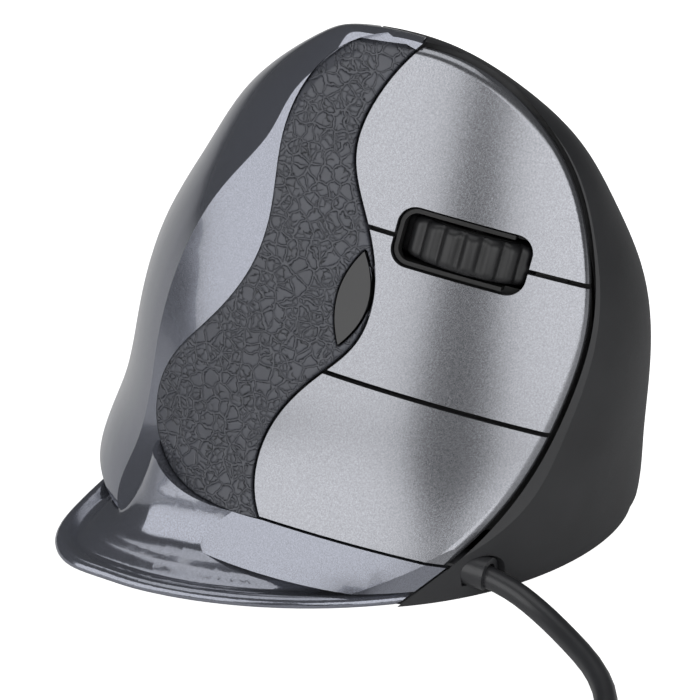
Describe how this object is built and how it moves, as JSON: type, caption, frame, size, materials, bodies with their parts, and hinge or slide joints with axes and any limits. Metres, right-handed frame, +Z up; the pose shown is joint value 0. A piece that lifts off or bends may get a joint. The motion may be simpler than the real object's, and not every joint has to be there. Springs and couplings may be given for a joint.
{
  "type": "computer mouse",
  "caption": "Upright right-handed computer mouse on a flared foot, with three finger buttons, scroll wheel, mode button, thumb buttons and a corded plug.",
  "frame": {"origin": "centre of the bounding rectangle of the mouse body on the plane it rests on", "axes": "+X towards the finger side, +Y towards the cord end, +Z up"},
  "size_m": [0.1557, 0.1117, 0.0782],
  "materials": {
    "gloss_shell": "dark metallic piano gloss",
    "matte_shell": "fine matte",
    "grip_rubber": "pebbled leather texture",
    "silver_paint": "satin metallic paint on plastic",
    "gloss_black": "high gloss",
    "inner_plastic": "moulded",
    "thumb_key": "satin gloss",
    "tyre_rubber": "smooth rubber",
    "steel": "bright",
    "board_green": "solder mask",
    "switch_case": "moulded",
    "plunger_white": "moulded",
    "cans": "satin",
    "clear_lens": "clear",
    "flex_amber": "film",
    "glide_white": "slippery",
    "cord_jacket": "satin",
    "tie_black": "satin",
    "gold": "plated"
  },
  "bodies": {
    "housing": {"palm_shell": "gloss_shell", "thumb_shell": "matte_shell", "base_plate": "matte_shell", "grip_inlay": "grip_rubber", "button_deck": "inner_plastic", "button_board": "board_green", "index_switch": "switch_case", "middle_switch": "switch_case", "ring_switch": "switch_case", "mode_switch": "switch_case", "wheel_switch": "switch_case", "main_board": "board_green", "sensor_chip": "inner_plastic", "controller_chip": "inner_plastic", "cable_header": "plunger_white", "board_parts": "cans", "sensor_lens": "clear_lens", "thumb_board": "board_green", "flat_ribbon": "flex_amber", "thumb_back_switch": "switch_case", "thumb_front_switch": "switch_case", "case_screws": "steel", "board_screws": "steel", "glides": "glide_white", "cord_gland": "cord_jacket", "cord": "cord_jacket", "cord_coil": "cord_jacket", "cord_lead": "cord_jacket", "coil_tie": "tie_black", "plug_grip": "cord_jacket", "plug_shell": "steel", "plug_tongue": "plunger_white", "plug_contacts": "gold"},
    "index_button": {"index_button": "silver_paint"},
    "index_plunger": {"index_plunger": "plunger_white"},
    "middle_button": {"middle_button": "silver_paint"},
    "middle_plunger": {"middle_plunger": "plunger_white"},
    "ring_button": {"ring_button": "silver_paint"},
    "ring_plunger": {"ring_plunger": "plunger_white"},
    "mode_button": {"mode_button": "gloss_black"},
    "mode_plunger": {"mode_plunger": "plunger_white"},
    "wheel_carrier": {"wheel_carrier": "inner_plastic", "wheel_encoder": "inner_plastic"},
    "scroll_wheel": {"scroll_hub": "inner_plastic", "scroll_tyre": "tyre_rubber", "wheel_axle": "steel"},
    "wheel_plunger": {"wheel_plunger": "plunger_white"},
    "thumb_button_back": {"thumb_button_back": "thumb_key"},
    "thumb_back_plunger": {"thumb_back_plunger": "plunger_white"},
    "thumb_button_front": {"thumb_button_front": "thumb_key"},
    "thumb_front_plunger": {"thumb_front_plunger": "plunger_white"}
  },
  "joints": [
    {"name": "index_press", "type": "hinge", "parent": "housing", "child": "index_button", "pos_m": [-0.00511, 0.01026, 0.06383], "axis": [-0.3819, 0.0695, 0.9216], "range_deg": [0, 1.5], "stiffness_Nm_per_rad": 0.6, "springref_deg": -1.15},
    {"name": "index_plunger_slide", "type": "slide", "parent": "housing", "child": "index_plunger", "axis": [-0.9058, -0.2259, -0.3584], "range_m": [0, 0.0005]},
    {"name": "middle_press", "type": "hinge", "parent": "housing", "child": "middle_button", "pos_m": [0.00545, 0.01496, 0.03606], "axis": [-0.3819, 0.0695, 0.9216], "range_deg": [0, 1.5], "stiffness_Nm_per_rad": 0.6, "springref_deg": -1.15},
    {"name": "middle_plunger_slide", "type": "slide", "parent": "housing", "child": "middle_plunger", "axis": [-0.9058, -0.2259, -0.3584], "range_m": [0, 0.0005]},
    {"name": "ring_press", "type": "hinge", "parent": "housing", "child": "ring_button", "pos_m": [0.01417, 0.00476, 0.01801], "axis": [-0.3819, 0.0695, 0.9216], "range_deg": [0, 1.5], "stiffness_Nm_per_rad": 0.6, "springref_deg": -1.15},
    {"name": "ring_plunger_slide", "type": "slide", "parent": "housing", "child": "ring_plunger", "axis": [-0.9058, -0.2259, -0.3584], "range_m": [0, 0.0005]},
    {"name": "mode_press", "type": "slide", "parent": "housing", "child": "mode_button", "axis": [-0.9058, -0.2259, -0.3584], "range_m": [0, 0.00035], "stiffness_N_per_m": 1500, "springref_m": -0.0003},
    {"name": "mode_plunger_slide", "type": "slide", "parent": "housing", "child": "mode_plunger", "axis": [-0.9058, -0.2259, -0.3584], "range_m": [0, 0.0005]},
    {"name": "wheel_press", "type": "slide", "parent": "housing", "child": "wheel_carrier", "axis": [-0.9058, -0.2259, -0.3584], "range_m": [0, 0.0004], "stiffness_N_per_m": 2500, "springref_m": -0.0003},
    {"name": "wheel_spin", "type": "hinge", "parent": "wheel_carrier", "child": "scroll_wheel", "pos_m": [-0.00775, 0.02022, 0.04722], "axis": [-0.3819, 0.0695, 0.9216], "continuous": true},
    {"name": "wheel_plunger_slide", "type": "slide", "parent": "housing", "child": "wheel_plunger", "axis": [-0.9058, -0.2259, -0.3584], "range_m": [0, 0.0005]},
    {"name": "thumb_back_press", "type": "slide", "parent": "housing", "child": "thumb_button_back", "axis": [1, 0, 0], "range_m": [0, 0.00035], "stiffness_N_per_m": 1500, "springref_m": -0.0003},
    {"name": "thumb_back_plunger_slide", "type": "slide", "parent": "housing", "child": "thumb_back_plunger", "axis": [1, 0, 0], "range_m": [0, 0.0005]},
    {"name": "thumb_front_press", "type": "slide", "parent": "housing", "child": "thumb_button_front", "axis": [1, 0, 0], "range_m": [0, 0.00035], "stiffness_N_per_m": 1500, "springref_m": -0.0003},
    {"name": "thumb_front_plunger_slide", "type": "slide", "parent": "housing", "child": "thumb_front_plunger", "axis": [1, 0, 0], "range_m": [0, 0.0005]}
  ],
  "couplings": [
    {"joint": "index_plunger_slide", "follows": "index_press", "m_per_rad": 0.011418},
    {"joint": "middle_plunger_slide", "follows": "middle_press", "m_per_rad": 0.011338},
    {"joint": "ring_plunger_slide", "follows": "ring_press", "m_per_rad": 0.014807},
    {"joint": "mode_plunger_slide", "follows": "mode_press", "ratio": 1},
    {"joint": "wheel_plunger_slide", "follows": "wheel_press", "ratio": 1},
    {"joint": "thumb_back_plunger_slide", "follows": "thumb_back_press", "ratio": 1},
    {"joint": "thumb_front_plunger_slide", "follows": "thumb_front_press", "ratio": 1}
  ]
}
